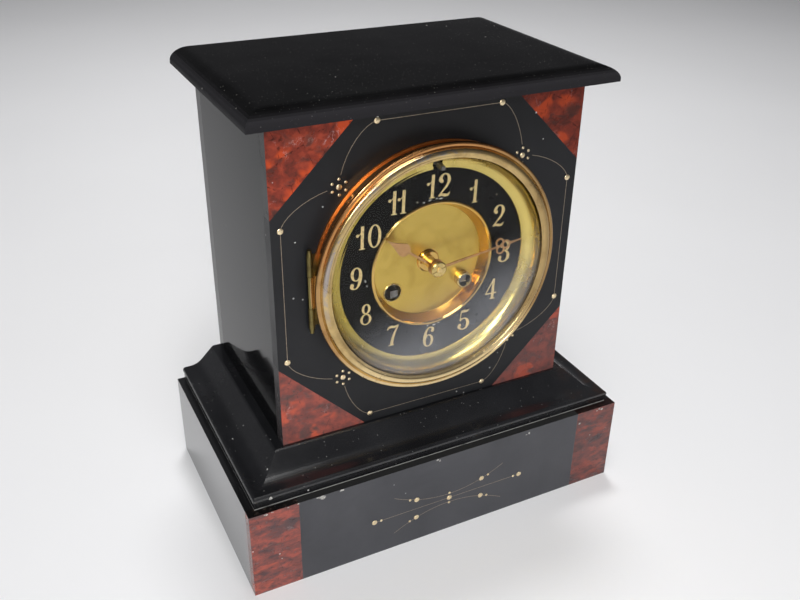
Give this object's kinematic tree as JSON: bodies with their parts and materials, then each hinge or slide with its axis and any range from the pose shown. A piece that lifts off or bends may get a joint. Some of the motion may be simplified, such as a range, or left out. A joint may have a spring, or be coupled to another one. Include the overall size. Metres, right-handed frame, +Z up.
{
  "type": "slate mantel clock",
  "caption": "Black slate mantel clock with red marble corners, gilded engraving, a hinged brass bezel over a sunk dial, and a pendulum movement striking on a bell.",
  "frame": {"origin": "centre of the flat underside of the base, on the surface that the clock stands on", "axes": "+Z up, -Y towards the dial, +X to the right as seen from the front"},
  "size_m": [0.23, 0.1471, 0.256],
  "materials": {
    "slate_polished": "polished black slate",
    "slate_satin": "satin dark blue-grey slate face",
    "red_marble": "polished red marble with orange blotches and white veins",
    "gilding": "gilded engraving",
    "bezel_brass": "polished, lightly tarnished",
    "dish_gilt": "satin gilt",
    "dial_black": "gloss black enamel",
    "numeral_gilt": "matt gilt",
    "glass": "clear bevelled",
    "hand_copper": "coppery gilt",
    "movement_brass": "brushed",
    "steel": "polished steel",
    "blued_spring": "blued spring steel",
    "bell_metal": "nickelled bell metal"
  },
  "bodies": {
    "case": {"plinth_front": "slate_satin", "plinth_marbles": "red_marble", "plinth_sides": "slate_polished", "base_slab": "slate_polished", "base_back": "slate_polished", "moulding_front": "slate_polished", "moulding_sides": "slate_polished", "body_front": "slate_satin", "marble_corners": "red_marble", "body_side_left": "slate_polished", "body_side_right": "slate_polished", "body_back": "slate_polished", "top_slab": "slate_polished", "gilt_inlay": "gilding", "front_ring": "bezel_brass", "dial_ring": "dial_black", "numerals": "numeral_gilt", "dial_centre": "dish_gilt", "winding_grommets": "bezel_brass", "bezel_hinge_pin": "bezel_brass", "rear_ring": "movement_brass", "rear_hinge_pin": "movement_brass", "case_screws": "steel", "front_plate": "movement_brass", "back_plate": "movement_brass", "pillars": "movement_brass", "back_cock": "movement_brass", "bell": "bell_metal", "bell_stand": "movement_brass"},
    "bezel_door": {"bezel": "bezel_brass", "bezel_glass": "glass", "sight_ring": "bezel_brass"},
    "back_door": {"rear_door": "movement_brass", "rear_knob": "movement_brass"},
    "going_winding_arbor": {"going_arbor": "steel"},
    "strike_winding_arbor": {"strike_arbor": "steel"},
    "minute_hand_group": {"minute_hand": "hand_copper", "hand_nut": "movement_brass", "cannon_pinion": "steel"},
    "minute_wheel_group": {"minute_wheel": "movement_brass"},
    "hour_hand_group": {"hour_hand": "hand_copper", "hour_wheel": "movement_brass"},
    "escape_group": {"escape_wheel": "movement_brass"},
    "third_group": {"third_wheel": "movement_brass"},
    "centre_group": {"centre_wheel": "movement_brass"},
    "intermediate_group": {"intermediate_wheel": "movement_brass"},
    "going_barrel_group": {"going_barrel": "movement_brass", "going_mainspring": "blued_spring"},
    "fly_group": {"fly": "movement_brass"},
    "warning_group": {"warning_wheel": "movement_brass"},
    "pin_wheel_group": {"pin_wheel": "movement_brass"},
    "strike_wheel_group": {"strike_wheel": "movement_brass"},
    "strike_barrel_group": {"strike_barrel": "movement_brass", "strike_mainspring": "blued_spring"},
    "pendulum": {"pendulum_rod": "steel", "pendulum_bob": "movement_brass"},
    "pallet_anchor": {"pallets": "steel"},
    "regulator": {"regulator_arbor": "steel"},
    "suspension": {"suspension_spring": "movement_brass"},
    "strike_hammer": {"hammer": "steel"}
  },
  "joints": [
    {"name": "bezel_hinge", "type": "hinge", "parent": "case", "child": "bezel_door", "pos_m": [-0.068, -0.0452, 0.161], "axis": [0, 0, -1], "range_deg": [0, 100]},
    {"name": "back_door_hinge", "type": "hinge", "parent": "case", "child": "back_door", "pos_m": [0.0648, 0.0719, 0.161], "axis": [0, 0, -1], "range_deg": [0, 105]},
    {"name": "going_winding", "type": "hinge", "parent": "case", "child": "going_winding_arbor", "pos_m": [0.0205, -0.01, 0.1465], "axis": [0, 1, 0], "continuous": true},
    {"name": "strike_winding", "type": "hinge", "parent": "case", "child": "strike_winding_arbor", "pos_m": [-0.0205, -0.01, 0.1465], "axis": [0, 1, 0], "continuous": true},
    {"name": "minute_hand_turn", "type": "hinge", "parent": "case", "child": "minute_hand_group", "pos_m": [0, -0.045, 0.161], "axis": [0, 1, 0], "continuous": true},
    {"name": "minute_wheel_turn", "type": "hinge", "parent": "case", "child": "minute_wheel_group", "pos_m": [0, -0.033, 0.149], "axis": [0, 1, 0], "continuous": true},
    {"name": "hour_hand_turn", "type": "hinge", "parent": "case", "child": "hour_hand_group", "pos_m": [0, -0.042, 0.161], "axis": [0, 1, 0], "continuous": true},
    {"name": "escape_wheel_turn", "type": "hinge", "parent": "case", "child": "escape_group", "pos_m": [0, -0.01, 0.1794], "axis": [0, 1, 0], "continuous": true},
    {"name": "third_wheel_turn", "type": "hinge", "parent": "case", "child": "third_group", "pos_m": [-0.01203, -0.01, 0.17342], "axis": [0, 1, 0], "continuous": true},
    {"name": "centre_wheel_turn", "type": "hinge", "parent": "case", "child": "centre_group", "pos_m": [0, -0.01, 0.161], "axis": [0, 1, 0], "continuous": true},
    {"name": "intermediate_wheel_turn", "type": "hinge", "parent": "case", "child": "intermediate_group", "pos_m": [0.01631, -0.01, 0.16861], "axis": [0, 1, 0], "continuous": true},
    {"name": "going_barrel_turn", "type": "hinge", "parent": "case", "child": "going_barrel_group", "pos_m": [0.0205, -0.01, 0.1465], "axis": [0, 1, 0], "continuous": true},
    {"name": "fly_turn", "type": "hinge", "parent": "case", "child": "fly_group", "pos_m": [-0.01439, -0.01, 0.19781], "axis": [0, 1, 0], "continuous": true},
    {"name": "warning_wheel_turn", "type": "hinge", "parent": "case", "child": "warning_group", "pos_m": [-0.01517, -0.01, 0.18888], "axis": [0, 1, 0], "continuous": true},
    {"name": "pin_wheel_turn", "type": "hinge", "parent": "case", "child": "pin_wheel_group", "pos_m": [-0.0262, -0.01, 0.18252], "axis": [0, 1, 0], "continuous": true},
    {"name": "strike_wheel_turn", "type": "hinge", "parent": "case", "child": "strike_wheel_group", "pos_m": [-0.0267, -0.01, 0.16813], "axis": [0, 1, 0], "continuous": true},
    {"name": "strike_barrel_turn", "type": "hinge", "parent": "case", "child": "strike_barrel_group", "pos_m": [-0.0205, -0.01, 0.1465], "axis": [0, 1, 0], "continuous": true},
    {"name": "pendulum_swing", "type": "hinge", "parent": "case", "child": "pendulum", "pos_m": [0, 0.023, 0.192], "axis": [0, 1, 0], "range_deg": [-4, 4]},
    {"name": "pallet_rock", "type": "hinge", "parent": "case", "child": "pallet_anchor", "pos_m": [0, 0, 0.192], "axis": [0, 1, 0], "range_deg": [-4, 4]},
    {"name": "regulator_turn", "type": "hinge", "parent": "case", "child": "regulator", "pos_m": [0, -0.01, 0.216], "axis": [0, 1, 0], "range_deg": [-720, 720]},
    {"name": "suspension_slide", "type": "slide", "parent": "case", "child": "suspension", "axis": [0, 0, 1], "range_m": [-0.0007, 0.0007]},
    {"name": "hammer_lift", "type": "hinge", "parent": "case", "child": "strike_hammer", "pos_m": [-0.0415, 0.01, 0.1695], "axis": [0, -1, 0], "range_deg": [0, 10]}
  ],
  "couplings": [
    {"joint": "minute_wheel_turn", "follows": "minute_hand_turn", "ratio": -0.33333},
    {"joint": "hour_hand_turn", "follows": "minute_hand_turn", "ratio": 0.083333},
    {"joint": "third_wheel_turn", "follows": "escape_wheel_turn", "ratio": -0.090909},
    {"joint": "centre_wheel_turn", "follows": "escape_wheel_turn", "ratio": 0.0075758},
    {"joint": "intermediate_wheel_turn", "follows": "escape_wheel_turn", "ratio": -0.00084175},
    {"joint": "going_barrel_turn", "follows": "escape_wheel_turn", "ratio": 0.0001295},
    {"joint": "warning_wheel_turn", "follows": "fly_turn", "ratio": -0.14286},
    {"joint": "pin_wheel_turn", "follows": "fly_turn", "ratio": 0.016667},
    {"joint": "strike_wheel_turn", "follows": "fly_turn", "ratio": -0.002381},
    {"joint": "strike_barrel_turn", "follows": "fly_turn", "ratio": 0.0003663},
    {"joint": "pallet_rock", "follows": "pendulum_swing", "ratio": 1},
    {"joint": "regulator_turn", "follows": "suspension_slide", "rad_per_m": 17950}
  ]
}
